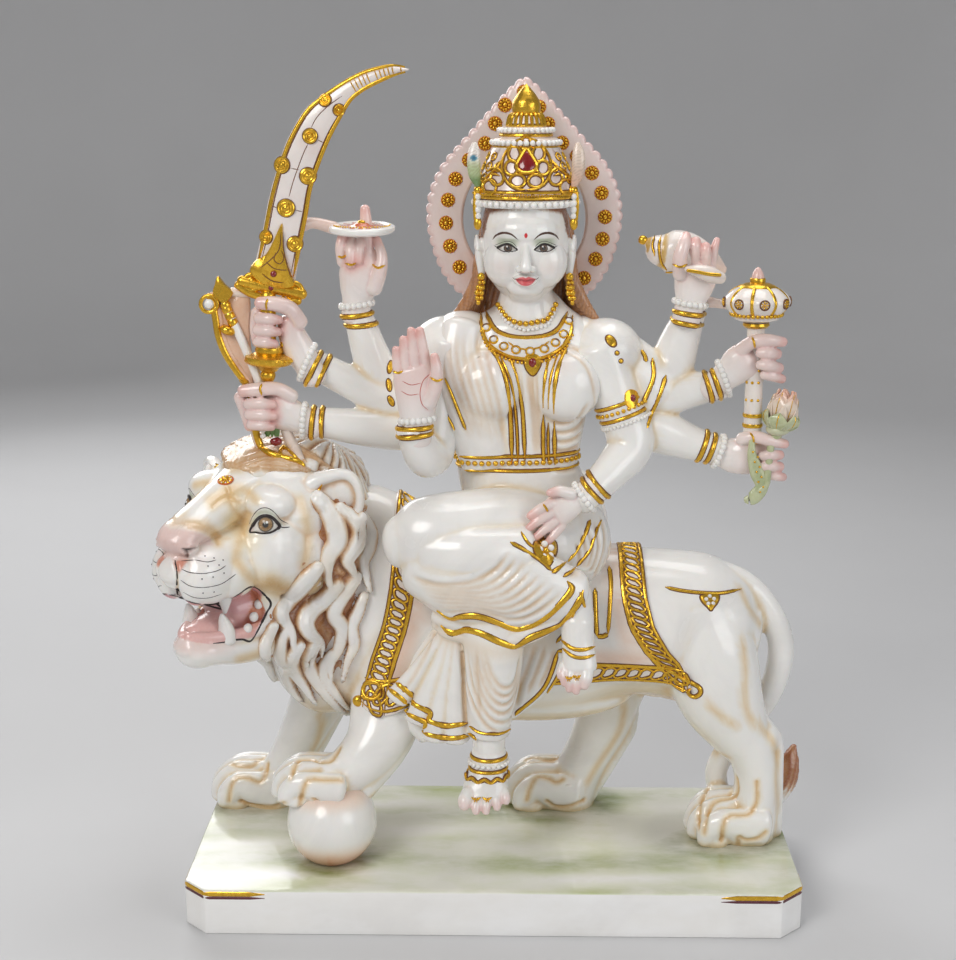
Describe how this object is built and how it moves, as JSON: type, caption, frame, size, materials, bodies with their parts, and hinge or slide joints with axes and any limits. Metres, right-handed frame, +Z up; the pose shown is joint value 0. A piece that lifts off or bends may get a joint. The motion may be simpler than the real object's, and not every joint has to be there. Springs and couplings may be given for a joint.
{
  "type": "durga figure",
  "caption": "Painted marble statue of the goddess Durga riding side-saddle on a standing lion, arms fanned out around a pierced halo, carved with its plinth.",
  "frame": {"origin": "middle of the plinth's underside", "axes": "+Z up, +X towards the lion's tail, -Y towards the viewer"},
  "size_m": [0.701, 0.2895, 0.9],
  "materials": {
    "marble": "polished white marble, painted and gilt"
  },
  "bodies": {
    "root": {"durga_on_lion": "marble"}
  },
  "joints": []
}
